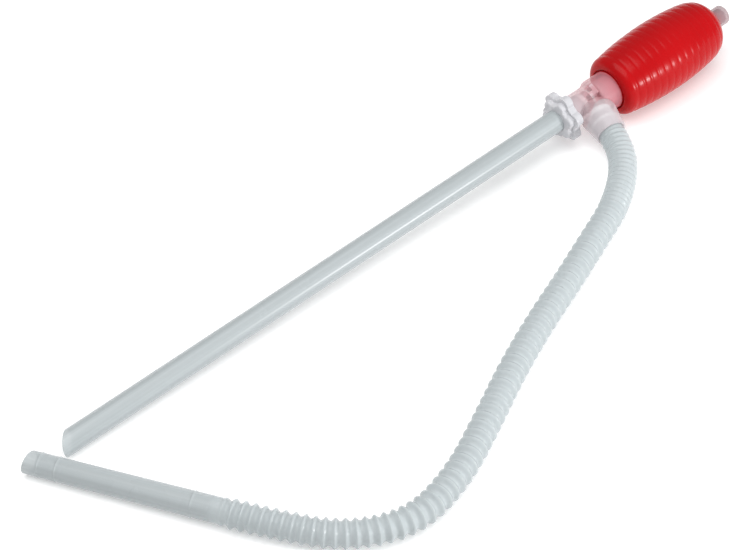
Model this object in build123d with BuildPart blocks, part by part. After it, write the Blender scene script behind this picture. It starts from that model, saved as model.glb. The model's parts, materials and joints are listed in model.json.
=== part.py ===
"""Hand siphon pump: suction tube, valve head, squeeze bulb with a vent cap, corrugated discharge hose.

The pump lies on a flat surface (z = 0) with its suction tube towards -X and its bulb towards +X.
The tube's tip and the bulb's belly both touch the surface, so the pump's axis leans slightly.
A station is a distance along that leaning axis, counted from the tube's longest point.
All sizes are in millimetres, and +Z is up.
"""
from build123d import *
import os
from math import atan2, cos, pi, radians, sin, tan

# ---- suction tube ----
TUBE_R = 8.0
TUBE_BORE_R = 6.8
TUBE_END = 460.0              # station of its end, inside the head
TIP_CUT = 45.0                # slanted tip, which can't seal on a tank's floor
TIP_ROLL = 21.0               # the tip's long side, turned up from the outlet's side

# ---- stop collar, which slides on the tube ----
COLLAR_AT = 438.0
COLLAR_TIERS = [              # thickness, core radius, reach to a lobe's outside, and a lobe's radius
    (4.2, 12.0, 15.0, 4.4),
    (6.2, 14.5, 18.2, 5.2),
]
COLLAR_VALLEY = 1.8           # rounding of the valleys between the lobes
COLLAR_LOBES = 6
COLLAR_ROUND = 1.2
COLLAR_TURN = 8.0             # first lobe, turned from the top towards the outlet's side

# ---- head: neck, cup, spigot for the bulb, outlet ----
NECK_AT = 448.7
NECK_R = 10.3
SHOULDER_AT = 471.2
CUP_R = 14.2
CUP_ROUND = 3.0
CAVITY_AT = 473.5
MOUTH_AT = 487.0              # station of the head's mouth, where the bulb starts
BULB_OFFSET = 2.3             # the bulb's axis, to the outlet's side of the tube's axis
SPIGOT_R = 12.6
SPIGOT_BORE_R = 10.6
SPIGOT_END = 500.0
BEAD_AT = 493.0
BEAD_HEIGHT = 0.8
OUTLET_AT = 469.0             # station where the outlet's axis leaves the tube's axis
OUTLET_SWEEP = 13.0           # degrees back towards the suction tip
OUTLET_DROP = 10.0            # degrees down towards the surface
OUTLET_DOME_AT = 15.5         # distances along the outlet's axis
OUTLET_DOME_R = 13.4
OUTLET_TAPER = 7.8            # degrees
OUTLET_MOUTH = 32.7
OUTLET_BORE_R = 10.0
OUTLET_BORE_AT = 13.8
ANTECHAMBER_AT = 10.5
ANTECHAMBER_R = 6.0
PORT_R = 2.8
PORT_FROM = (480.0, 9.5)      # station and distance towards the outlet, in the cavity
PORT_TO = (470.0, 12.6)       # the same, in the chamber before the outlet's valve
HOOK_AT = 470.5
HOOK_TURN = 20.0              # degrees from the top towards the outlet's side
HOOK_TOP_R = 15.6
HOOK_ARM = 7.5
HOOK_WIDTH = 3.2

# ---- valves ----
SEAT_THICK = 3.4
SEAT_HOLE_R = 4.5
LIP_R = 5.4
LIP_HEIGHT = 0.6
DISC_R = 6.2
DISC_THICK = 1.2
DISC_LIFT = 2.6
CAGE_THICK = 2.2
CAGE_HUB_R = 2.6
CAGE_RIM = 1.4
CAGE_RIB = 1.6
INLET_BORE_R = 7.2
GAP = 0.3                     # between pieces that move apart
RUNNING = 0.05                # radial clearance of a sliding fit

# ---- squeeze bulb and vent ----
BULB_R = 26.3
BULB_LENGTH = 102.7
BELLY = 51.0                  # the widest place, from the bulb's mouth
BULB_WALL = 2.0
SHOULDER_START_R = 15.6
SHOULDER_ROUND = 7.0
BULB_SIDE = [                 # distance from the bulb's mouth, and radius there
    (18.7, 24.4), (33.7, 25.7), (BELLY, BULB_R), (68, 25.6), (81, 24.2), (89, 22.8), (95, 20.4),
    (99.4, 16.4), (101.8, 12.2), (BULB_LENGTH, 8.5),
]
SLEEVE_R = 14.8
VENT_NECK_R = 5.4
VENT_NECK_LENGTH = 9.6
VENT_BORE_R = 3.2
SEAL_R = 5.35
SEAL_THICK = 1.2
CAP_R = 7.25
CAP_LENGTH = 14.0
CAP_ROUND = 2.0

# ---- discharge hose and its smooth spout ----
HOSE_R = 10.0                 # over the corrugations
HOSE_WALL = 1.0
HOSE_GRIP = 8.0               # length pushed into the outlet
HOSE_LIE = 10.1               # height of the hose's centre where it lies on the surface
HOSE_ROUTE = [
    (140, -59, 13.0), (114, -76, 10.6), (83, -88, HOSE_LIE), (41, -105, HOSE_LIE),
    (-2, -121, HOSE_LIE), (-45, -140, HOSE_LIE), (-86, -161, HOSE_LIE), (-128, -181, HOSE_LIE),
    (-173, -191, HOSE_LIE), (-214, -172, HOSE_LIE),
]
FIRST_RUN = 21.0
LAST_RUN = 38.0
SPOUT_ROOT = (-261.0, -99.4, HOSE_LIE)
SPOUT_HEADING = 119.5         # degrees from +X, seen from above
SPOUT_LENGTH = 125.0
SPOUT_ROOT_R = 8.45
SPOUT_TIP_R = 7.85
SPOUT_BORE_R = 6.7
SPOUT_RINGS = (12.0, 103.0, 115.0)
SPOUT_SLANT = 15.0            # degrees that its open tip leans, long on the side away from the pump
RING_HEIGHT = 0.35
RING_WIDTH = 1.4
RING_ROOT = 0.5               # depth that a ring starts inside the wall

# ---- shared axes ----
TIP_REST = 11.0               # station where the tube's underside touches the surface
PUMP_SIDE = 4.4               # moves the tube's axis over, so that the pump's box is centred on y = 0
LEAN = atan2(BULB_R - TUBE_R, MOUTH_AT + BELLY - TIP_REST)
PUMP_LENGTH = MOUTH_AT + BULB_LENGTH + GAP + CAP_LENGTH
AXIS = Vector(cos(LEAN), 0, sin(LEAN))
OUT = Vector(0, -1, 0)
RISE = Vector(-sin(LEAN), 0, cos(LEAN))
TUBE_START = Vector(-PUMP_LENGTH / 2 * cos(LEAN), PUMP_SIDE, TUBE_R * cos(LEAN) - TIP_REST * sin(LEAN))
BULB_START = TUBE_START + OUT * BULB_OFFSET
OUTLET_START = TUBE_START + AXIS * OUTLET_AT
OUTLET_ASIDE = OUT * cos(radians(OUTLET_DROP)) - RISE * sin(radians(OUTLET_DROP))
OUTLET_DIR = OUTLET_ASIDE * cos(radians(OUTLET_SWEEP)) - AXIS * sin(radians(OUTLET_SWEEP))
SPOUT_START = Vector(*SPOUT_ROOT)
SPOUT_SLOPE = atan2(HOSE_LIE - SPOUT_TIP_R - RING_HEIGHT, SPOUT_LENGTH)
SPOUT_DIR = Vector(
    cos(radians(SPOUT_HEADING)) * cos(SPOUT_SLOPE),
    sin(radians(SPOUT_HEADING)) * cos(SPOUT_SLOPE),
    -sin(SPOUT_SLOPE),
)

# A profile plane has x along its axis and y as the radius, and its profiles turn about that axis.
TUBE_PLANE = Plane(origin=TUBE_START, x_dir=AXIS, z_dir=OUT)
BULB_PLANE = Plane(origin=BULB_START, x_dir=AXIS, z_dir=OUT)
OUTLET_PLANE = Plane(origin=OUTLET_START, x_dir=OUTLET_DIR, z_dir=OUTLET_DIR.cross(RISE))
SPOUT_PLANE = Plane(origin=SPOUT_START, x_dir=SPOUT_DIR, z_dir=SPOUT_DIR.cross(RISE))


def axis_of(plane):
    """The line that profiles on a profile plane turn about."""
    return Axis(plane.origin, plane.x_dir)


def square_to(plane, distance):
    """Plane square to a profile plane's axis, at a distance along it."""
    return Plane(origin=plane.origin + plane.x_dir * distance, x_dir=plane.y_dir, z_dir=plane.x_dir)


def ring(plane, start, end, inner, outer):
    """Rectangle on a profile plane, between two distances and two radii."""
    with BuildSketch(plane) as profile:
        with BuildLine():
            Polyline((start, inner), (end, inner), (end, outer), (start, outer), close=True)
        make_face()
    return profile.sketch


def finish(piece, name):
    """Label a finished piece and write it to its own file."""
    piece.part.label = name
    export_step(piece.part, f"parts/{name}.step")


# ---- suction tube: a plain tube, with its tip cut on a slant ----
with BuildPart() as suction_tube:
    revolve(ring(TUBE_PLANE, 0, TUBE_END, TUBE_BORE_R, TUBE_R), axis=axis_of(TUBE_PLANE))
    long_side = OUT * cos(radians(TIP_ROLL)) + RISE * sin(radians(TIP_ROLL))
    tip_centre = TUBE_START + AXIS * TUBE_R * tan(radians(TIP_CUT))
    split(bisect_by=Plane(origin=tip_centre, z_dir=AXIS + long_side * tan(radians(TIP_CUT))), keep=Keep.TOP)
finish(suction_tube, "suction_tube")

# ---- stop collar: a rounded star that slides on the tube ----
with BuildPart() as stop_collar:
    tier_at = COLLAR_AT
    for thick, core_r, reach, lobe_r in COLLAR_TIERS:
        with BuildSketch(square_to(TUBE_PLANE, tier_at)) as star:
            Circle(core_r)
            with PolarLocations(reach - lobe_r, COLLAR_LOBES, start_angle=COLLAR_TURN):
                Circle(lobe_r)
            fillet(star.vertices(), radius=COLLAR_VALLEY)
        extrude(amount=thick)
        tier_at += thick
    ends = stop_collar.faces().sort_by(Axis(TUBE_START, AXIS))
    fillet([*ends[0].edges(), *ends[-1].edges()], radius=COLLAR_ROUND)
    with BuildSketch(square_to(TUBE_PLANE, COLLAR_AT)):
        Circle(TUBE_R + RUNNING)
    extrude(amount=tier_at - COLLAR_AT, mode=Mode.SUBTRACT)
finish(stop_collar, "stop_collar")

# ---- pump body: one moulding of neck, cup, bulb spigot, outlet and hook ----
taper = radians(OUTLET_TAPER)
taper_start = OUTLET_DOME_AT + OUTLET_DOME_R * sin(taper)
taper_start_r = OUTLET_DOME_R * cos(taper)
OUTLET_MOUTH_R = taper_start_r - (OUTLET_MOUTH - taper_start) * tan(taper)
SEAT_END = TUBE_END + SEAT_THICK
hook_out = RISE * cos(radians(HOOK_TURN)) + OUT * sin(radians(HOOK_TURN))
port_from = TUBE_START + AXIS * PORT_FROM[0] + OUTLET_ASIDE * PORT_FROM[1]
port_to = TUBE_START + AXIS * PORT_TO[0] + OUTLET_ASIDE * PORT_TO[1]


def spigot_profile():
    """Half section of the spigot that the bulb is pushed onto, with the bead that holds it."""
    with BuildSketch(BULB_PLANE) as profile:
        with BuildLine():
            Polyline(
                (MOUTH_AT, 0), (MOUTH_AT, SPIGOT_R), (BEAD_AT - 2 * BEAD_HEIGHT, SPIGOT_R),
                (BEAD_AT - BEAD_HEIGHT, SPIGOT_R + BEAD_HEIGHT),
                (BEAD_AT + BEAD_HEIGHT, SPIGOT_R + BEAD_HEIGHT),
                (BEAD_AT + 2 * BEAD_HEIGHT, SPIGOT_R), (SPIGOT_END, SPIGOT_R), (SPIGOT_END, 0),
                close=True,
            )
        make_face()
    return profile.sketch


with BuildPart() as pump_body:
    revolve(ring(TUBE_PLANE, NECK_AT, CAVITY_AT, 0, NECK_R), axis=axis_of(TUBE_PLANE))
    revolve(ring(BULB_PLANE, SHOULDER_AT, MOUTH_AT, 0, CUP_R), axis=axis_of(BULB_PLANE))
    rims = pump_body.edges().filter_by(GeomType.CIRCLE).group_by(SortBy.RADIUS)[-1]
    fillet(rims.sort_by(Axis.X)[0], radius=CUP_ROUND)
    revolve(spigot_profile(), axis=axis_of(BULB_PLANE))
    with BuildSketch(OUTLET_PLANE):
        with BuildLine():
            dome = CenterArc((OUTLET_DOME_AT, 0), OUTLET_DOME_R, 90 - OUTLET_TAPER, 90 + OUTLET_TAPER)
            Polyline(dome @ 0, (OUTLET_MOUTH, OUTLET_MOUTH_R), (OUTLET_MOUTH, 0), dome @ 1)
        make_face()
    revolve(axis=axis_of(OUTLET_PLANE))
    with BuildSketch(Plane(origin=TUBE_START + AXIS * HOOK_AT, x_dir=AXIS, z_dir=hook_out)):
        with BuildLine():
            Polyline(
                (0, HOOK_ARM / 2), (0, -HOOK_ARM / 2), (-HOOK_ARM, -HOOK_ARM / 2),
                (-HOOK_ARM, HOOK_WIDTH - HOOK_ARM / 2), (-HOOK_WIDTH, HOOK_WIDTH - HOOK_ARM / 2),
                (-HOOK_WIDTH, HOOK_ARM / 2), close=True,
            )
        make_face()
    extrude(amount=HOOK_TOP_R)
    # the tube's socket, the inlet valve's bore, the cavity under the bulb
    tube_bores = [(NECK_AT, SEAT_END, TUBE_R), (SEAT_END, CAVITY_AT, INLET_BORE_R)]
    for start, end, radius in tube_bores:
        revolve(ring(TUBE_PLANE, start, end, 0, radius), axis=axis_of(TUBE_PLANE), mode=Mode.SUBTRACT)
    spigot_bore = ring(BULB_PLANE, CAVITY_AT, SPIGOT_END, 0, SPIGOT_BORE_R)
    revolve(spigot_bore, axis=axis_of(BULB_PLANE), mode=Mode.SUBTRACT)
    # the outlet's bore, and the way to it from the cavity
    outlet_bores = [
        (ANTECHAMBER_AT, OUTLET_BORE_AT, ANTECHAMBER_R),
        (OUTLET_BORE_AT, OUTLET_MOUTH, OUTLET_BORE_R),
    ]
    for start, end, radius in outlet_bores:
        revolve(ring(OUTLET_PLANE, start, end, 0, radius), axis=axis_of(OUTLET_PLANE), mode=Mode.SUBTRACT)
    with BuildSketch(Plane(origin=port_from, z_dir=port_to - port_from)):
        Circle(PORT_R)
    extrude(amount=(port_to - port_from).length, mode=Mode.SUBTRACT)
finish(pump_body, "pump_body")

# ---- the two check valves: each a seat, a loose disc and the cage that stops the disc ----
VALVES = [
    ("inlet", TUBE_PLANE, TUBE_END, TUBE_R, INLET_BORE_R),
    ("outlet", OUTLET_PLANE, OUTLET_BORE_AT, OUTLET_BORE_R, OUTLET_BORE_R),
]
for side, plane, seat_at, seat_r, cage_r in VALVES:
    lip_end = seat_at + SEAT_THICK + LIP_HEIGHT
    disc_at = lip_end + GAP
    cage_at = disc_at + DISC_THICK + DISC_LIFT + GAP

    with BuildPart() as valve_seat:
        revolve(ring(plane, seat_at, seat_at + SEAT_THICK, SEAT_HOLE_R, seat_r), axis=axis_of(plane))
        revolve(ring(plane, seat_at, lip_end, SEAT_HOLE_R, LIP_R), axis=axis_of(plane))
    finish(valve_seat, f"{side}_valve_seat")

    with BuildPart() as valve_disc:
        revolve(ring(plane, disc_at, disc_at + DISC_THICK, 0, DISC_R), axis=axis_of(plane))
        fillet(valve_disc.edges(), radius=0.3)
    finish(valve_disc, f"{side}_valve_disc")

    with BuildPart() as valve_cage:
        with BuildSketch(square_to(plane, cage_at)):
            Circle(cage_r)
            Circle(cage_r - CAGE_RIM, mode=Mode.SUBTRACT)
            Circle(CAGE_HUB_R)
            with PolarLocations(cage_r / 2, 3):
                Rectangle(cage_r - CAGE_RIM / 2, CAGE_RIB)
        extrude(amount=CAGE_THICK)
    finish(valve_cage, f"{side}_valve_cage")


# ---- squeeze bulb: a soft shell, with a sleeve that grips the spigot and a neck for the vent ----
def bulb_outline(wall):
    """Half section of the bulb's outside, or of its inside at a wall's thickness further in."""
    near = MOUTH_AT + wall
    far = MOUTH_AT + BULB_LENGTH - wall
    stretch = (far - near) / BULB_LENGTH
    with BuildSketch(BULB_PLANE) as profile:
        with BuildLine():
            face = Line((near, 0), (near, SHOULDER_START_R - wall))
            shoulder_end = (near + SHOULDER_ROUND, SHOULDER_START_R + SHOULDER_ROUND - wall)
            RadiusArc(face @ 1, shoulder_end, SHOULDER_ROUND)
            side = Spline(
                shoulder_end, *[(near + x * stretch, radius - wall) for x, radius in BULB_SIDE],
                tangents=[(1, 0.1), (0, -1)],
            )
            Polyline(side @ 1, (far, 0), (near, 0))
        make_face()
    return profile.sketch


with BuildPart() as squeeze_bulb:
    bulb_end = MOUTH_AT + BULB_LENGTH
    vent_end = bulb_end + VENT_NECK_LENGTH
    revolve(bulb_outline(0), axis=axis_of(BULB_PLANE))
    revolve(bulb_outline(BULB_WALL), axis=axis_of(BULB_PLANE), mode=Mode.SUBTRACT)
    revolve(ring(BULB_PLANE, MOUTH_AT, SPIGOT_END, 0, SLEEVE_R), axis=axis_of(BULB_PLANE))
    revolve(ring(BULB_PLANE, bulb_end - BULB_WALL, vent_end, 0, VENT_NECK_R), axis=axis_of(BULB_PLANE))
    revolve(spigot_profile(), axis=axis_of(BULB_PLANE), mode=Mode.SUBTRACT)
    vent_bore = ring(BULB_PLANE, bulb_end - BULB_WALL, vent_end, 0, VENT_BORE_R)
    revolve(vent_bore, axis=axis_of(BULB_PLANE), mode=Mode.SUBTRACT)
finish(squeeze_bulb, "squeeze_bulb")

# ---- vent: a liner seal and the screw cap that carries it ----
seal_at = vent_end + GAP
with BuildPart() as vent_seal:
    revolve(ring(BULB_PLANE, seal_at, seal_at + SEAL_THICK, 0, SEAL_R), axis=axis_of(BULB_PLANE))
finish(vent_seal, "vent_seal")

cap_at = bulb_end + GAP
with BuildPart() as vent_cap:
    revolve(ring(BULB_PLANE, cap_at, cap_at + CAP_LENGTH, 0, CAP_R), axis=axis_of(BULB_PLANE))
    fillet(vent_cap.edges().group_by(Axis(BULB_START, AXIS))[-1], radius=CAP_ROUND)
    cap_ceiling = seal_at + SEAL_THICK + GAP
    revolve(
        ring(BULB_PLANE, cap_at, cap_ceiling, 0, VENT_NECK_R + RUNNING),
        axis=axis_of(BULB_PLANE), mode=Mode.SUBTRACT,
    )
finish(vent_cap, "vent_cap")

# ---- discharge hose: a plain tube along its route, then the smooth spout ----
outlet_face = OUTLET_START + OUTLET_DIR * OUTLET_MOUTH
hose_start = outlet_face - OUTLET_DIR * HOSE_GRIP
route = [hose_start, hose_start + OUTLET_DIR * FIRST_RUN]
route += [Vector(*point) for point in HOSE_ROUTE]
route += [SPOUT_START - SPOUT_DIR * LAST_RUN, SPOUT_START]
runs = [end - start for start, end in zip(route, route[1:])]
radii = [
    0.45 * min(run.length, after.length) / tan(radians(run.get_angle(after)) / 2)
    for run, after in zip(runs, runs[1:])
]
print("hose runs", [round(run.length) for run in runs])
print("hose turns", [round(run.get_angle(after)) for run, after in zip(runs, runs[1:])])
print("hose radii", [round(radius) for radius in radii])

with BuildPart() as discharge_hose:
    with BuildLine() as hose_line:
        FilletPolyline(*route, radius=radii)
    with BuildSketch(Plane(origin=hose_line.line @ 0, z_dir=hose_line.line % 0)):
        Circle(HOSE_R)
        Circle(HOSE_R - HOSE_WALL, mode=Mode.SUBTRACT)
    sweep(path=hose_line.wire())
print("hose length", round(hose_line.wire().length, 1), "volume over section", end=" ")
print(round(discharge_hose.part.volume / (pi * (HOSE_R**2 - (HOSE_R - HOSE_WALL) ** 2)), 1))
finish(discharge_hose, "discharge_hose")

with BuildPart() as hose_spout:
    with BuildSketch(SPOUT_PLANE):
        with BuildLine():
            Polyline(
                (0, SPOUT_BORE_R), (SPOUT_LENGTH, SPOUT_BORE_R), (SPOUT_LENGTH, SPOUT_TIP_R),
                (0, SPOUT_ROOT_R), close=True,
            )
        make_face()
    revolve(axis=axis_of(SPOUT_PLANE))
    for ring_at in SPOUT_RINGS:
        wall_r = SPOUT_ROOT_R + (SPOUT_TIP_R - SPOUT_ROOT_R) * ring_at / SPOUT_LENGTH
        half = RING_WIDTH / 2
        revolve(
            ring(SPOUT_PLANE, ring_at - half, ring_at + half, wall_r - RING_ROOT, wall_r + RING_HEIGHT),
            axis=axis_of(SPOUT_PLANE),
        )
    slant_from = SPOUT_START + SPOUT_DIR * (SPOUT_LENGTH - SPOUT_TIP_R * tan(radians(SPOUT_SLANT)))
    towards_pump = SPOUT_DIR.cross(Vector(0, 0, 1)) * tan(radians(SPOUT_SLANT))
    split(bisect_by=Plane(origin=slant_from, z_dir=SPOUT_DIR + towards_pump), keep=Keep.BOTTOM)
finish(hose_spout, "hose_spout")
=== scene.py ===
"""Hand siphon pump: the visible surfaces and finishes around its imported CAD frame.

The pump lies on a floor at z = 0, with its suction tip towards -X and its vent cap towards +X. Its axis leans
by about two degrees, so every turned piece is worked out along an axis that is read from the frame.
All sizes are in metres.
"""
import bpy
import bmesh
import json
import math
import numpy as np
from bpy.props import FloatProperty, FloatVectorProperty, IntProperty, PointerProperty
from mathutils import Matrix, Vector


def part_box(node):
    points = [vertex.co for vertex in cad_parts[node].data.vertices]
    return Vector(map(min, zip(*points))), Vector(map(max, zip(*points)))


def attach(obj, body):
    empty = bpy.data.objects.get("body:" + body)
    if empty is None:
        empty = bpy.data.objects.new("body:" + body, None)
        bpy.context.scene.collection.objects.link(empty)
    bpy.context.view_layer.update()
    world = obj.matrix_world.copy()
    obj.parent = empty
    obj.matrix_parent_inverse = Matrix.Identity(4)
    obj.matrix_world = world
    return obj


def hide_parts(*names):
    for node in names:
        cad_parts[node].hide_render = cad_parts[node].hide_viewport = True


bl_info = {
    "name": "Hand siphon pump",
    "version": (1, 0, 0),
    "blender": (4, 5, 0),
    "location": "3D View > Sidebar > Siphon",
    "description": "Corrugated hose, ribbed squeeze bulb and translucent mouldings of a hand siphon pump",
    "category": "Object",
}

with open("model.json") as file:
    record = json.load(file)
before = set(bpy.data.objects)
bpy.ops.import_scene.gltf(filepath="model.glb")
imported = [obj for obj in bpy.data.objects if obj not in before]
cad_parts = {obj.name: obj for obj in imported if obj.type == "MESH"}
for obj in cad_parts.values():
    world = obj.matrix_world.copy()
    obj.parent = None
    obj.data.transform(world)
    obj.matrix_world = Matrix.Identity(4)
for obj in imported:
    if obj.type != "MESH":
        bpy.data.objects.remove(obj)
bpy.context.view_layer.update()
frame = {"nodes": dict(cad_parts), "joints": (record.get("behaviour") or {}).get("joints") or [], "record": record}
NODES = frame["nodes"]
JOINTS = {joint["name"]: joint for joint in frame["joints"]}
MM = 0.001

# ---- distances along the pump that its pieces are placed by, in metres ----
TUBE_TO_DISC = 0.4649         # from the tube's longest point to the middle of the inlet's valve disc
TUBE_LENGTH = 0.460
TUBE_R = 0.008
TUBE_BORE_R = 0.0068
TIP_CUT = math.radians(45)
TIP_ROLL = math.radians(21)   # the tip's long side, turned up from the outlet's side
BULB_LENGTH = 0.1027
VENT_NECK = 0.0096            # length of the bulb's vent neck
SEAL_FROM_NECK = 0.0009       # from the neck's end to the middle of the seal
OUTLET_REACH = 0.014          # from the middle of the outlet's valve disc to the outlet's face
HOSE_GRIP = 0.008             # length of hose inside the outlet


def unit(vector):
    """The vector divided by its length."""
    vector = np.asarray(vector, float)
    return vector / np.linalg.norm(vector)


def middle_of(node):
    """Centre of a CAD node's box, which lies on the axis of a turned node with two like ends."""
    low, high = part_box(node)
    return (np.array(low) + np.array(high)) / 2


class Axle:
    """A straight axis with two directions square to it: rise, nearest to up, and side, to its left."""

    def __init__(self, origin, direction):
        self.origin = np.asarray(origin, float)
        self.along = unit(direction)
        up = np.array([0.0, 0.0, 1.0])
        self.rise = unit(up - self.along * self.along[2])
        self.side = np.cross(self.rise, self.along)

    def point(self, distance):
        """Point on the axis at a distance from its origin."""
        return self.origin + self.along * distance


BULB = Axle(middle_of("vent_seal"), JOINTS["vent_cap_turn"]["axis"])
BULB.origin = BULB.point(-(BULB_LENGTH + VENT_NECK + SEAL_FROM_NECK))
TUBE = Axle(middle_of("inlet_valve_disc"), JOINTS["inlet_valve_lift"]["axis"])
TUBE.origin = TUBE.point(-TUBE_TO_DISC)
OUTLET = Axle(middle_of("outlet_valve_disc"), JOINTS["outlet_valve_lift"]["axis"])
OUTLET.origin = OUTLET.point(OUTLET_REACH)

# The hose's route, which is the CAD tube's. Its first two and last two points are worked out from its ends.
HOSE_LIE = 0.0101             # height of its middle where it lies on the floor
HOSE_ROUTE = [
    (0.140, -0.059, 0.0130), (0.114, -0.076, 0.0106), (0.083, -0.088, HOSE_LIE), (0.041, -0.105, HOSE_LIE),
    (-0.002, -0.121, HOSE_LIE), (-0.045, -0.140, HOSE_LIE), (-0.086, -0.161, HOSE_LIE),
    (-0.128, -0.181, HOSE_LIE), (-0.173, -0.191, HOSE_LIE), (-0.214, -0.172, HOSE_LIE),
]
FIRST_RUN = 0.021             # from the route's first point to its second
LAST_RUN = 0.038              # from the route's last point but one to its last
SPOUT = Axle((-0.261, -0.0994, HOSE_LIE), frame["record"]["mounts"][0]["axis"])

# ---- the hose's corrugations ----
OPENING_RUN = 6 * MM          # stretch over which the pushed part opens out
CLOSING_FROM = 0.66           # share of the length from which the pitch shortens towards the spout
CLOSING_RUN = 0.14            # share of the length that this takes
POWER_PLACES = (0.60, 0.80)   # shares of the length between which the wave's power changes
WAVE_POWERS = (1.8, 1.3)
CUFF_R = 9.4 * MM             # smooth cuff in the outlet
CUFF_FADE = 4 * MM            # stretch over which the corrugations rise from it
END_CUFF = 6 * MM             # smooth cuff next to the spout
END_CUFF_FADE = 5 * MM        # stretch over which the corrugations sink to it

# ---- the spout, from the hose to its tip ----
SPOUT_LENGTH = 0.125
SPOUT_ROOT_R = 8.45 * MM
SPOUT_TIP_R = 7.85 * MM
SPOUT_BORE_R = 6.7 * MM
SPOUT_RINGS = (0.012, 0.103, 0.115)
RING_HEIGHT = 0.35 * MM
RING_WIDTH = 0.55 * MM
SLANT_FROM = 0.117            # where the wall starts to slant towards the tip
SLANT = math.radians(15)

# ---- finishes ----
PLASTIC_IOR = 1.5
MILKY_SPECULAR = 0.25
VINYL_SPECULAR = 0.12
HOSE_TINT = 1.17              # the hose is paler than the tube
MOULDING_WHITE = (0.80, 0.82, 0.82)
RUBBER_GREY = (0.55, 0.53, 0.53)

# ---- the stage ----
FLOOR_HALF = 3.0
FLOOR_GREY = (0.80, 0.80, 0.80, 1)
FLOOR_GLOW = 0.30
SURROUND = 0.4
WHITE = (1, 1, 1, 1)
SOFTBOXES = {                 # place, width and height, watts
    "front_softbox": ((0.62, -1.25, 0.28), (0.14, 0.10), 11.0),
    "top_softbox": ((-0.3, -0.1, 1.9), (2.2, 1.8), 38.0),
}


# ---------------------------------------------------------------- properties

class HoseSizes(bpy.types.PropertyGroup):
    """Sizes of the corrugated hose and its spout."""

    crest: FloatProperty(
        name="Crest radius", description="Radius over the corrugations", default=0.0101, unit="LENGTH")
    root: FloatProperty(
        name="Root radius", description="Radius between the corrugations", default=0.0078, unit="LENGTH")
    wall: FloatProperty(name="Wall", description="Wall of the hose", default=0.0008, unit="LENGTH")
    pitch_head: FloatProperty(
        name="Pitch at the head", description="Corrugation spacing where the hose is pushed together",
        default=0.0040, unit="LENGTH")
    depth_head: FloatProperty(
        name="Depth at the head", description="Corrugation depth where the hose is pushed together",
        default=0.0008, unit="LENGTH")
    head_stretch: FloatProperty(
        name="Pushed length", description="Length next to the outlet that is pushed together", default=0.078,
        unit="LENGTH")
    pitch_middle: FloatProperty(
        name="Pitch in the middle", description="Corrugation spacing on the long stretch", default=0.00765,
        unit="LENGTH")
    pitch_end: FloatProperty(
        name="Pitch at the spout", description="Corrugation spacing next to the spout", default=0.0065,
        unit="LENGTH")
    around: IntProperty(name="Segments", description="Faces round the hose", default=36, min=12)
    along: IntProperty(name="Rings", description="Rings on each fine corrugation", default=8, min=4)


class BulbSizes(bpy.types.PropertyGroup):
    """Sizes of the squeeze bulb's grooves."""

    grooves: IntProperty(name="Grooves", description="Shallow grooves round the bulb", default=14, min=1)
    groove_depth: FloatProperty(
        name="Groove depth", description="Depth of each groove", default=0.00022, unit="LENGTH")
    groove_width: FloatProperty(
        name="Groove width", description="Half width of each groove", default=0.0011, unit="LENGTH")
    wall: FloatProperty(name="Wall", description="Wall of the bulb", default=0.002, unit="LENGTH")
    around: IntProperty(name="Segments", description="Faces round the bulb", default=160, min=24)


class PumpColours(bpy.types.PropertyGroup):
    """Colours of the pump's plastics."""

    clear: FloatVectorProperty(
        name="Clear plastic", description="Colour of the tube and the hose", subtype="COLOR", size=3,
        default=(0.515, 0.558, 0.572))
    head: FloatVectorProperty(
        name="Head plastic", description="Colour of the pump body and the vent cap", subtype="COLOR", size=3,
        default=(0.72, 0.66, 0.69))
    # Painted pink: the red bulb's light reflected in the head, painted into the head's colour near the bulb.
    cast: FloatVectorProperty(
        name="Pink cast", description="Colour that the bulb lends to the head", subtype="COLOR", size=3,
        default=(0.70, 0.24, 0.28))
    cap: FloatVectorProperty(
        name="Cap plastic", description="Colour of the vent cap", subtype="COLOR", size=3,
        default=(0.40, 0.27, 0.29))
    collar: FloatVectorProperty(
        name="Collar plastic", description="Colour of the stop collar", subtype="COLOR", size=3,
        default=(0.68, 0.68, 0.71))
    vinyl: FloatVectorProperty(
        name="Red vinyl", description="Colour of the squeeze bulb", subtype="COLOR", size=3,
        default=(0.45, 0.004, 0.006))


class StageSizes(bpy.types.PropertyGroup):
    """Camera and lights."""

    target: FloatVectorProperty(
        name="Target", description="Point that the camera looks at", size=3, subtype="TRANSLATION",
        default=(-0.05727, -0.02243, 0.020))
    swing: FloatProperty(
        name="Swing", description="Camera's turn about +Z, from looking along +Y",
        default=math.radians(-41.65), subtype="ANGLE")
    elevation: FloatProperty(
        name="Elevation", description="Camera's height above the horizon", default=math.radians(45.47),
        subtype="ANGLE")
    distance: FloatProperty(name="Distance", description="Camera to target", default=1.898, unit="LENGTH")
    lens: FloatProperty(name="Lens", description="Focal length in millimetres", default=137.4)


# ---------------------------------------------------------------- mesh helpers

def put_mesh(name, points, faces, body, material, sharp=35.0, uv=None):
    """Make an object from points and quads, merge its doubles, point its faces outwards and let it ride a body."""
    mesh = bpy.data.meshes.new(name)
    mesh.from_pydata(points.reshape(-1, 3).tolist(), [], faces.reshape(-1, 4).tolist())
    if uv is not None:
        layer = mesh.uv_layers.new(name="along")
        layer.data.foreach_set("uv", uv.reshape(-1).astype(np.float32))
    work = bmesh.new()
    work.from_mesh(mesh)
    bmesh.ops.remove_doubles(work, verts=work.verts, dist=1e-7)
    bmesh.ops.recalc_face_normals(work, faces=work.faces)
    work.to_mesh(mesh)
    work.free()
    mesh.polygons.foreach_set("use_smooth", np.ones(len(mesh.polygons), bool))
    mesh.set_sharp_from_angle(angle=math.radians(sharp))
    mesh.materials.append(material)
    piece = bpy.data.objects.new(name, mesh)
    bpy.context.scene.collection.objects.link(piece)
    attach(piece, body)
    return piece


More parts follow.
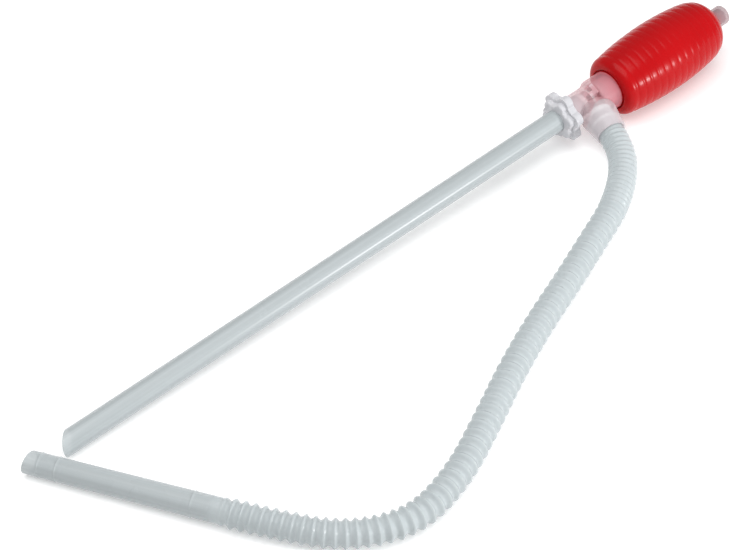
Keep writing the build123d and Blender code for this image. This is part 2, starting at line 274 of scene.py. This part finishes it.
def wrap_uv(faces, columns, distance):
    """UV of each quad's corners: u counts once round the piece, and v is the distance along it in metres."""
    u = faces % columns / columns
    at_seam = (u[..., [2, 3]] == 0) & (u[..., [0, 1]] > 0.5)
    u[..., [2, 3]] = np.where(at_seam, 1.0, u[..., [2, 3]])
    return np.stack([u, np.asarray(distance)[faces // columns]], axis=-1)


def grid_faces(rows, columns):
    """Quads of a grid that closes on itself in both directions."""
    row, column = np.meshgrid(np.arange(rows), np.arange(columns), indexing="ij")
    below, beside = (row + 1) % rows, (column + 1) % columns
    corners = [row * columns + column, below * columns + column, below * columns + beside, row * columns + beside]
    return np.stack(corners, axis=-1)


def spokes(first, second, around):
    """Unit directions round a circle: cos t * first + sin t * second, for one pair of directions or many."""
    turn = np.linspace(0, 2 * math.pi, around, endpoint=False)[:, None]
    return np.cos(turn) * first[..., None, :] + np.sin(turn) * second[..., None, :]


def turned(axle, distance, radius, around):
    """Closed outline turned about an axis: point = axis(distance) + radius * (cos t * rise + sin t * side).

    distance and radius are arrays that go once round the outline, so the grid closes both ways.
    """
    spoke = spokes(axle.rise, axle.side, around)
    points = axle.point(np.asarray(distance)[:, None])[:, None, :] + np.asarray(radius)[:, None, None] * spoke
    return points, grid_faces(len(distance), around)


def smooth_line(points, steps):
    """Curve through points: on each span a cubic whose end slopes join the points on either side of it."""
    points = np.asarray(points, float)
    padded = np.vstack([2 * points[0] - points[1], points, 2 * points[-1] - points[-2]])
    before, start, end, after = padded[:-3], padded[1:-2], padded[2:-1], padded[3:]
    t = np.linspace(0, 1, steps, endpoint=False)[None, :, None]
    before, start, end, after = (p[:, None, :] for p in (before, start, end, after))
    cubic = 0.5 * (
        2 * start + (end - before) * t + (2 * before - 5 * start + 4 * end - after) * t**2
        + (3 * start - before - 3 * end + after) * t**3
    )
    return np.vstack([cubic.reshape(-1, points.shape[1]), points[-1:]])


def arc(centre, radius, start, end, steps):
    """Arc of an outline: centre + radius * (cos t, sin t), with t in degrees."""
    t = np.radians(np.linspace(start, end, steps))
    return np.stack([centre[0] + radius * np.cos(t), centre[1] + radius * np.sin(t)], axis=-1)


# ---------------------------------------------------------------- materials

def new_group(name, inputs, output):
    """Empty shader node group with float inputs and one float output, and its two end nodes."""
    group = bpy.data.node_groups.new(name, "ShaderNodeTree")
    for title, value in inputs.items():
        socket = group.interface.new_socket(name=title, in_out="INPUT", socket_type="NodeSocketFloat")
        socket.default_value = value
    group.interface.new_socket(name=output, in_out="OUTPUT", socket_type="NodeSocketFloat")
    return group, group.nodes.new("NodeGroupInput"), group.nodes.new("NodeGroupOutput")


def math_node(tree, operation, first, second=None, clamp=False):
    """Math node on one or two sockets or numbers."""
    node = tree.nodes.new("ShaderNodeMath")
    node.operation = operation
    node.use_clamp = clamp
    for socket, value in zip(node.inputs, (first, second)):
        if isinstance(value, float):
            socket.default_value = value
        elif value is not None:
            tree.links.new(value, socket)
    return node.outputs["Value"]


def square(tree, value):
    """A socket's value times itself."""
    return math_node(tree, "MULTIPLY", value, value)


def mottle_group():
    """Cloudiness of a moulded plastic: soft noise on object coordinates, as a value round one half."""
    if "cloudy_mottle" in bpy.data.node_groups:
        return bpy.data.node_groups["cloudy_mottle"]
    group, given, out = new_group("cloudy_mottle", {"Scale": 60.0}, "Cloud")
    place = group.nodes.new("ShaderNodeTexCoord")
    noise = group.nodes.new("ShaderNodeTexNoise")
    noise.inputs["Detail"].default_value = 3.0
    group.links.new(place.outputs["Object"], noise.inputs["Vector"])
    group.links.new(given.outputs["Scale"], noise.inputs["Scale"])
    group.links.new(noise.outputs["Fac"], out.inputs["Cloud"])
    return group


def streak_group():
    """Faint lines that run the length of a drawn tube: noise on the UV map, fine across it and long along it."""
    if "drawn_streaks" in bpy.data.node_groups:
        return bpy.data.node_groups["drawn_streaks"]
    group, given, out = new_group("drawn_streaks", {"Lines": 14.0}, "Streak")
    layer = group.nodes.new("ShaderNodeUVMap")
    layer.uv_map = "along"
    split = group.nodes.new("ShaderNodeSeparateXYZ")
    group.links.new(layer.outputs["UV"], split.inputs["Vector"])
    join = group.nodes.new("ShaderNodeCombineXYZ")
    group.links.new(math_node(group, "MULTIPLY", split.outputs["X"], given.outputs["Lines"]), join.inputs["X"])
    group.links.new(math_node(group, "MULTIPLY", split.outputs["Y"], 1.5), join.inputs["Y"])
    noise = group.nodes.new("ShaderNodeTexNoise")
    noise.inputs["Scale"].default_value = 1.0
    noise.inputs["Detail"].default_value = 2.0
    group.links.new(join.outputs["Vector"], noise.inputs["Vector"])
    spread = group.nodes.new("ShaderNodeMapRange")
    spread.inputs["From Min"].default_value = 0.3
    spread.inputs["From Max"].default_value = 0.7
    group.links.new(noise.outputs["Fac"], spread.inputs["Value"])
    group.links.new(spread.outputs["Result"], out.inputs["Streak"])
    return group


def use_group(tree, group, **values):
    """Place a node group in a material with its own values."""
    node = tree.nodes.new("ShaderNodeGroup")
    node.node_tree = group
    for title, value in values.items():
        node.inputs[title].default_value = value
    return node


def mix_colours(tree, mask, first, second):
    """Colour between two: the first where the mask is 0 and the second where it is 1."""
    mix = tree.nodes.new("ShaderNodeMix")
    mix.data_type = "RGBA"
    mix.inputs["A"].default_value = (*first, 1)
    mix.inputs["B"].default_value = (*second, 1)
    tree.links.new(mask, mix.inputs["Factor"])
    return mix.outputs["Result"]


def shade(tree, mask, colour, darker):
    """A colour, times the factor darker where the mask is 0."""
    return mix_colours(tree, mask, [c * darker for c in colour], colour)


def bump(tree, shader, height, strength):
    """Fine bump from a height value."""
    node = tree.nodes.new("ShaderNodeBump")
    node.inputs["Distance"].default_value = 0.0002
    node.inputs["Strength"].default_value = strength
    tree.links.new(height, node.inputs["Height"])
    tree.links.new(node.outputs["Normal"], shader.inputs["Normal"])


def new_material(name, roughness):
    """Node material with its Principled shader's roughness set."""
    material = bpy.data.materials.new(name)
    material.use_nodes = True
    shader = material.node_tree.nodes["Principled BSDF"]
    shader.inputs["Roughness"].default_value = roughness
    shader.inputs["IOR"].default_value = PLASTIC_IOR
    return material, material.node_tree, shader


def vary_roughness(tree, shader, mask, low, high):
    """Roughness between two values by a mask."""
    spread = tree.nodes.new("ShaderNodeMapRange")
    spread.inputs["To Min"].default_value = low
    spread.inputs["To Max"].default_value = high
    tree.links.new(mask, spread.inputs["Value"])
    tree.links.new(spread.outputs["Result"], shader.inputs["Roughness"])


def milky_plastic(name, colour, cover, roughness):
    """Translucent polyethylene: each wall covers only part of what is behind it and is slightly cloudy."""
    material, tree, shader = new_material(name, roughness)
    shader.inputs["Alpha"].default_value = cover
    shader.inputs["Specular IOR Level"].default_value = MILKY_SPECULAR
    cloud = use_group(tree, mottle_group(), Scale=55.0)
    tree.links.new(shade(tree, cloud.outputs["Cloud"], colour, darker=0.95), shader.inputs["Base Color"])
    vary_roughness(tree, shader, cloud.outputs["Cloud"], low=roughness * 0.9, high=roughness * 1.2)
    return material


def painted_bulb_reflection_group():
    """Painted pink reflection of the red bulb on the clear mouldings: it grows along +X up to the bulb and fades
    off the axis.
    """
    if "painted_bulb_reflection" in bpy.data.node_groups:
        return bpy.data.node_groups["painted_bulb_reflection"]
    reaches = {"Reach": 0.045, "Inner": 0.0144, "Outer": 0.0156}
    group, given, out = new_group("painted_bulb_reflection", reaches, "Cast")
    place = group.nodes.new("ShaderNodeTexCoord")
    shift = group.nodes.new("ShaderNodeMapping")
    shift.inputs["Location"].default_value = -BULB.origin
    group.links.new(place.outputs["Object"], shift.inputs["Vector"])
    split = group.nodes.new("ShaderNodeSeparateXYZ")
    group.links.new(shift.outputs["Vector"], split.inputs["Vector"])
    along = math_node(group, "DIVIDE", split.outputs["X"], given.outputs["Reach"])
    near = math_node(group, "ADD", along, 1.0, clamp=True)
    spread = math_node(group, "ADD", square(group, split.outputs["Y"]), square(group, split.outputs["Z"]))
    spare = math_node(group, "SUBTRACT", given.outputs["Outer"], math_node(group, "SQRT", spread))
    fade = math_node(group, "SUBTRACT", given.outputs["Outer"], given.outputs["Inner"])
    inside = math_node(group, "DIVIDE", spare, fade, clamp=True)
    group.links.new(math_node(group, "MULTIPLY", near, inside), out.inputs["Cast"])
    return group


def drawn_plastic(name, colour, cover, roughness):
    """Milky plastic of a drawn tube, with faint lengthwise lines."""
    material = milky_plastic(name, colour, cover, roughness)
    tree = material.node_tree
    streak = use_group(tree, streak_group())
    tone = shade(tree, streak.outputs["Streak"], [c * 1.06 for c in colour], darker=0.84)
    tree.links.new(tone, tree.nodes["Principled BSDF"].inputs["Base Color"])
    return material


def painted_bulb_reflection(material, colour, painted_pink_colour):
    """Blend a clear plastic's colour towards a painted pink reflection where the bulb's red light would reach it.
    """
    tree = material.node_tree
    shader = tree.nodes["Principled BSDF"]
    # Mask of the painted reflection: where the bulb's red light is painted into the colour.
    cast = use_group(tree, painted_bulb_reflection_group())
    tree.links.new(mix_colours(tree, cast.outputs["Cast"], colour, painted_pink_colour), shader.inputs["Base Color"])
    return material


def red_vinyl(colour):
    """Glossy soft vinyl: deep red, slightly blotchy, with a clear sheen and a fine orange peel."""
    material, tree, shader = new_material("red_vinyl", roughness=0.22)
    shader.inputs["Specular IOR Level"].default_value = VINYL_SPECULAR
    cloud = use_group(tree, mottle_group(), Scale=35.0)
    tree.links.new(shade(tree, cloud.outputs["Cloud"], colour, darker=0.82), shader.inputs["Base Color"])
    vary_roughness(tree, shader, cloud.outputs["Cloud"], low=0.18, high=0.34)
    peel = use_group(tree, mottle_group(), Scale=420.0)
    bump(tree, shader, peel.outputs["Cloud"], strength=0.25)
    return material


def white_moulding():
    """Matt white moulded plastic of the valve seats and cages."""
    material, tree, shader = new_material("white_moulding", roughness=0.45)
    cloud = use_group(tree, mottle_group(), Scale=120.0)
    tree.links.new(shade(tree, cloud.outputs["Cloud"], MOULDING_WHITE, darker=0.93), shader.inputs["Base Color"])
    bump(tree, shader, cloud.outputs["Cloud"], strength=0.2)
    return material


def valve_rubber():
    """Soft matt rubber of the valve discs and the vent's seal."""
    material, tree, shader = new_material("valve_rubber", roughness=0.7)
    cloud = use_group(tree, mottle_group(), Scale=300.0)
    tree.links.new(shade(tree, cloud.outputs["Cloud"], RUBBER_GREY, darker=0.8), shader.inputs["Base Color"])
    bump(tree, shader, cloud.outputs["Cloud"], strength=0.3)
    return material


def dress(node, material):
    """Give a CAD node's object a material."""
    slots = NODES[node].data.materials
    slots.clear()
    slots.append(material)


# ---------------------------------------------------------------- pieces

class SIPHON_OT_stage(bpy.types.Operator):
    """Put the camera, the floor and the soft lights round the pump"""

    bl_idname = "siphon.stage"
    bl_label = "Stage"

    def execute(self, context):
        sizes = context.scene.siphon_stage
        swing, rise = sizes.swing, sizes.elevation
        back = np.array([math.sin(swing) * math.cos(rise), -math.cos(swing) * math.cos(rise), math.sin(rise)])
        camera = bpy.data.objects.new("camera", bpy.data.cameras.new("camera"))
        camera.data.lens = sizes.lens
        camera.location = np.array(sizes.target) + back * sizes.distance
        camera.rotation_euler = (math.pi / 2 - rise, 0, swing)
        context.scene.collection.objects.link(camera)
        context.scene.camera = camera
        self.floor(context)
        self.lights(context)
        return {"FINISHED"}

    def floor(self, context):
        """Plain pale floor, six metres across."""
        mesh = bpy.data.meshes.new("floor")
        half = FLOOR_HALF
        corners = [(-half, -half, 0), (half, -half, 0), (half, half, 0), (-half, half, 0)]
        mesh.from_pydata(corners, [], [(0, 1, 2, 3)])
        material, _, shader = new_material("pale_floor", roughness=0.9)
        shader.inputs["Base Color"].default_value = FLOOR_GREY
        shader.inputs["Emission Color"].default_value = WHITE
        shader.inputs["Emission Strength"].default_value = FLOOR_GLOW
        shader.inputs["Specular IOR Level"].default_value = 0.0
        mesh.materials.append(material)
        floor = bpy.data.objects.new("floor", mesh)
        context.scene.collection.objects.link(floor)

    def lights(self, context):
        """An even surround, one small softbox low at the front right and one wide one above."""
        world = bpy.data.worlds.new("studio")
        world.use_nodes = True
        surround = world.node_tree.nodes["Background"]
        surround.inputs["Color"].default_value = WHITE
        surround.inputs["Strength"].default_value = SURROUND
        context.scene.world = world
        context.scene.view_settings.view_transform = "Standard"
        for name, (place, size, power) in SOFTBOXES.items():
            self.softbox(context, name, place, size, power)

    def softbox(self, context, name, place, size, power):
        """Rectangular light that faces the origin, near the middle of the pump."""
        light = bpy.data.lights.new(name, "AREA")
        light.shape = "RECTANGLE"
        light.size, light.size_y = size
        light.energy = power
        lamp = bpy.data.objects.new(name, light)
        lamp.location = place
        x, y, z = place
        lamp.rotation_euler = (math.atan2(math.hypot(x, y), z), 0, math.atan2(x, -y))
        context.scene.collection.objects.link(lamp)


def hose_centreline():
    """Points of the hose's smooth line, evenly dense, read from a NURBS curve on the route."""
    start = OUTLET.point(-HOSE_GRIP)
    route = [start, start + OUTLET.along * FIRST_RUN]
    route += HOSE_ROUTE
    route += [SPOUT.point(-LAST_RUN), SPOUT.point(0.0)]
    curve = bpy.data.curves.new("hose_route", "CURVE")
    curve.dimensions = "3D"
    spline = curve.splines.new("NURBS")
    spline.points.add(len(route) - 1)
    spline.points.foreach_set("co", np.hstack([np.array(route), np.ones((len(route), 1))]).ravel())
    spline.order_u = 3
    spline.use_endpoint_u = True
    spline.resolution_u = 48
    holder = bpy.data.objects.new("hose_route", curve)
    bpy.context.scene.collection.objects.link(holder)
    bpy.context.view_layer.update()
    graph = bpy.context.evaluated_depsgraph_get()
    mesh = bpy.data.meshes.new_from_object(holder.evaluated_get(graph))
    line = np.zeros(len(mesh.vertices) * 3)
    mesh.vertices.foreach_get("co", line)
    bpy.data.objects.remove(holder)
    bpy.data.meshes.remove(mesh)
    return line.reshape(-1, 3)


class SIPHON_OT_hose(bpy.types.Operator):
    """Make the corrugated discharge hose and its smooth spout"""

    bl_idname = "siphon.hose"
    bl_label = "Hose and spout"

    def execute(self, context):
        sizes = context.scene.siphon_hose
        colours = context.scene.siphon_colours
        plastic = milky_plastic("hose_plastic", [c * HOSE_TINT for c in colours.clear], cover=0.60, roughness=0.26)
        hose, path = self.corrugated(sizes, plastic)
        spout = self.spout(drawn_plastic("spout_plastic", tuple(colours.clear), cover=0.72, roughness=0.26))
        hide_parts("discharge_hose")
        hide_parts("hose_spout")
        return {"FINISHED"}

    def corrugated(self, sizes, plastic):
        """Tube carried along the hose's line, whose radius swings between root and crest once a corrugation.

        point = line(s) + r(s) * (cos t * beside + sin t * above), with r = crest - depth * |sin(pi count)|^power.
        A power of 2 gives even waves and a smaller one narrow crests between round valleys. The count is the
        running sum of 1 / pitch. Next to the outlet the hose is pushed together, with a fine pitch and little
        depth, and towards the spout the pitch shortens again. Both ends fade into smooth cuffs.
        """
        line = hose_centreline()
        step = np.linalg.norm(np.diff(line, axis=0), axis=1)
        reach = np.concatenate([[0], np.cumsum(step)])
        length = reach[-1]
        rings = int(length / sizes.pitch_head * sizes.along)
        s = np.linspace(0, length, rings)
        centre = np.stack([np.interp(s, reach, line[:, i]) for i in range(3)], axis=-1)
        tangent = np.gradient(centre, s, axis=0)
        tangent /= np.linalg.norm(tangent, axis=1, keepdims=True)
        beside = np.cross(tangent, [0.0, 0.0, 1.0])
        beside /= np.linalg.norm(beside, axis=1, keepdims=True)
        above = np.cross(beside, tangent)
        place = s / length
        opened = np.clip((s - sizes.head_stretch) / OPENING_RUN, 0, 1)
        pitch = sizes.pitch_head + (sizes.pitch_middle - sizes.pitch_head) * opened
        pitch -= (sizes.pitch_middle - sizes.pitch_end) * np.clip((place - CLOSING_FROM) / CLOSING_RUN, 0, 1)
        power = np.interp(place, POWER_PLACES, WAVE_POWERS)
        depth = sizes.depth_head + (sizes.crest - sizes.root - sizes.depth_head) * opened
        count = np.concatenate([[0], np.cumsum(np.diff(s) / pitch[1:])])
        wave = sizes.crest - depth * np.abs(np.sin(math.pi * count)) ** power
        cuff_in = np.clip((s - HOSE_GRIP) / CUFF_FADE, 0, 1)
        cuff_out = np.clip((length - END_CUFF - s) / END_CUFF_FADE, 0, 1)
        fade = cuff_in * cuff_out
        cuff = np.where(place < 0.5, CUFF_R, SPOUT_ROOT_R)
        outer = cuff * (1 - fade) + wave * fade
        spoke = spokes(beside, above, sizes.around)
        skin = centre[:, None, :] + outer[:, None, None] * spoke
        lining = centre[:, None, :] + (outer - sizes.wall)[:, None, None] * spoke
        points = np.concatenate([skin, lining[::-1]])
        faces = grid_faces(2 * rings, sizes.around)
        hose = put_mesh("corrugated_hose", points, faces, "pump", plastic, sharp=60.0)
        return hose, centre[::4].tolist()

    def spout(self, plastic):
        """Smooth tapering tube with three fine raised rings and a slanted tip, long on the side away from the pump.

        point = axis(x) + r(x) * spoke, with a bump exp(-((x - ring) / width)^2) on r at each ring. The last
        stretch is pulled back along the axis by its share of tan(slant) * (tip radius - r * (spoke . away)),
        which slants the tip. away is level and points away from the pump.
        """
        around = 72
        x = np.linspace(0, SPOUT_LENGTH, 500)
        outer = SPOUT_ROOT_R + (SPOUT_TIP_R - SPOUT_ROOT_R) * x / SPOUT_LENGTH
        for ring in SPOUT_RINGS:
            outer = outer + RING_HEIGHT * np.exp(-(((x - ring) / RING_WIDTH) ** 2))
        distance = np.concatenate([x, x[::-1]])
        radius = np.concatenate([outer, np.full_like(x, SPOUT_BORE_R)])
        points, faces = turned(SPOUT, distance, radius, around)
        away = unit(np.cross([0.0, 0.0, 1.0], SPOUT.along))
        share = np.clip((distance - SLANT_FROM) / (SPOUT_LENGTH - SLANT_FROM), 0, 1)[:, None]
        spoke = points - SPOUT.point(distance[:, None])[:, None, :]
        push = share * math.tan(SLANT) * (spoke @ away - SPOUT_TIP_R)
        points = points + push[:, :, None] * SPOUT.along
        uv = wrap_uv(faces, around, distance)
        return put_mesh("smooth_spout", points, faces, "pump", plastic, uv=uv)


class SIPHON_OT_bulb(bpy.types.Operator):
    """Make the ribbed squeeze bulb"""

    bl_idname = "siphon.bulb"
    bl_label = "Squeeze bulb"

    def execute(self, context):
        sizes = context.scene.siphon_bulb
        vinyl = red_vinyl(tuple(context.scene.siphon_colours.vinyl))
        distance, radius = self.outline(sizes)
        points, faces = turned(BULB, distance, radius, sizes.around)
        bulb = put_mesh("ribbed_bulb", points, faces, "pump", vinyl)
        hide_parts("squeeze_bulb")
        return {"FINISHED"}

    def outline(self, sizes):
        """Closed outline of the bulb's wall: the outside from the sleeve to the vent, then back along the inside.

        Its points are the distance along the bulb and the radius there. The outside is an arc at the shoulder, a
        smooth curve through a few radii, and the vent's neck. Each groove takes
        depth * exp(-((x - place) / width)^2) off its radius.
        """
        mouth_r, shoulder_r = 0.0156, 0.0070
        lip, sleeve_end, sleeve_bore = -0.0002, 0.0132, 0.0127
        first_groove, last_groove = 0.0085, 0.0925
        end, neck_end = BULB_LENGTH, BULB_LENGTH + 0.0094
        recess = np.array([(lip, 0.0143), (0.0014, 0.0145), (0.0016, 0.0149), (0.0010, 0.0153)])
        shoulder = arc((shoulder_r, mouth_r), shoulder_r, start=180, end=92, steps=20)
        flank = smooth_line([
            (0.0070, 0.0226), (0.0187, 0.0244), (0.0337, 0.0257), (0.051, 0.0263), (0.068, 0.0256),
            (0.081, 0.0242), (0.089, 0.0228), (0.095, 0.0204), (0.0994, 0.0164), (0.1018, 0.0122), (end, 0.0085),
        ], steps=40)
        places = np.linspace(first_groove, last_groove, sizes.grooves)
        dent = np.exp(-(((flank[:, :1] - places) / sizes.groove_width) ** 2)).sum(axis=1)
        flank[:, 1] -= sizes.groove_depth * dent
        neck = np.array([
            (end, 0.0056), (end + 0.009, 0.0054), (neck_end, 0.0052), (neck_end, 0.0034), (end, 0.0032),
        ])
        # The inside runs back under the outside, with a quarter of its points.
        inner = flank[::-4] - np.array([0, sizes.wall])
        inner = inner[(inner[:, 0] < end - 0.0015) & (inner[:, 0] > sleeve_end)]
        sleeve = np.array([(sleeve_end, 0.0146), (sleeve_end, sleeve_bore), (lip, sleeve_bore)])
        outline = np.concatenate([recess, shoulder, flank, neck, inner, sleeve])
        return outline[:, 0], outline[:, 1]


class SIPHON_OT_tube(bpy.types.Operator):
    """Finish the suction tube and its stop collar"""

    bl_idname = "siphon.tube"
    bl_label = "Suction tube and collar"

    def execute(self, context):
        colours = context.scene.siphon_colours
        tube = self.slanted_tube(drawn_plastic("tube_plastic", tuple(colours.clear), cover=0.72, roughness=0.25))
        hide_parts("suction_tube")
        dress("stop_collar", milky_plastic("collar_plastic", tuple(colours.collar), cover=0.75, roughness=0.40))
        return {"FINISHED"}

    def slanted_tube(self, plastic):
        """Plain tube whose tip is cut by a slanted plane.

        point = axis(x) + r * spoke. At the tip x = tan(cut) * (R - r * (spoke . long side)), which lies on the
        plane through the tube's longest point, and from there x runs evenly to the tube's end.
        """
        around, steps = 96, 220
        long_side = TUBE.rise * math.sin(TIP_ROLL) - TUBE.side * math.cos(TIP_ROLL)
        share = np.linspace(0, 1, steps)
        share = np.concatenate([share, share[::-1]])
        radius = np.repeat([TUBE_R, TUBE_BORE_R], steps)
        points, faces = turned(TUBE, np.zeros(2 * steps), radius, around)
        tip = math.tan(TIP_CUT) * (TUBE_R - (points - TUBE.origin) @ long_side)
        distance = tip + share[:, None] * (TUBE_LENGTH - tip)
        points = points + distance[:, :, None] * TUBE.along
        uv = wrap_uv(faces, around, share * TUBE_LENGTH)
        return put_mesh("slanted_tube", points, faces, "pump", plastic, uv=uv)


class SIPHON_OT_head(bpy.types.Operator):
    """Finish the pump body, the vent cap and the two check valves"""

    bl_idname = "siphon.head"
    bl_label = "Head, valves and vent"

    def execute(self, context):
        colours = context.scene.siphon_colours
        head, cast = tuple(colours.head), tuple(colours.cast)
        # The pump body's colour is blended towards a painted pink reflection of the red bulb, near the bulb.
        dress("pump_body", painted_bulb_reflection(milky_plastic("head_plastic", head, cover=0.50, roughness=0.28), head, cast))
        dress("vent_cap", milky_plastic("cap_plastic", tuple(colours.cap), cover=0.60, roughness=0.30))
        moulding, rubber = white_moulding(), valve_rubber()
        for side in ("inlet", "outlet"):
            dress(f"{side}_valve_seat", moulding)
            dress(f"{side}_valve_cage", moulding)
            dress(f"{side}_valve_disc", rubber)
        dress("vent_seal", rubber)
        return {"FINISHED"}


class SIPHON_PT_panel(bpy.types.Panel):
    """The pump's makers, in the 3D view's sidebar"""

    bl_idname = "SIPHON_PT_panel"
    bl_label = "Hand siphon pump"
    bl_space_type = "VIEW_3D"
    bl_region_type = "UI"
    bl_category = "Siphon"

    def draw(self, context):
        for operator in MAKERS:
            self.layout.operator(operator.bl_idname)


GROUPS = {
    "siphon_hose": HoseSizes,
    "siphon_bulb": BulbSizes,
    "siphon_colours": PumpColours,
    "siphon_stage": StageSizes,
}
MAKERS = (SIPHON_OT_stage, SIPHON_OT_hose, SIPHON_OT_bulb, SIPHON_OT_tube, SIPHON_OT_head)
CLASSES = (*GROUPS.values(), *MAKERS, SIPHON_PT_panel)


def register():
    """Make the classes and the scene's settings known."""
    for cls in CLASSES:
        bpy.utils.register_class(cls)
    for name, group in GROUPS.items():
        setattr(bpy.types.Scene, name, PointerProperty(type=group))


def unregister():
    """Take the settings and the classes away again."""
    for name in GROUPS:
        delattr(bpy.types.Scene, name)
    for cls in reversed(CLASSES):
        bpy.utils.unregister_class(cls)


def main():
    """Make every piece in order."""
    register()
    bpy.ops.siphon.stage()
    bpy.ops.siphon.hose()
    bpy.ops.siphon.bulb()
    bpy.ops.siphon.tube()
    bpy.ops.siphon.head()


if __name__ == "__main__":
    main()
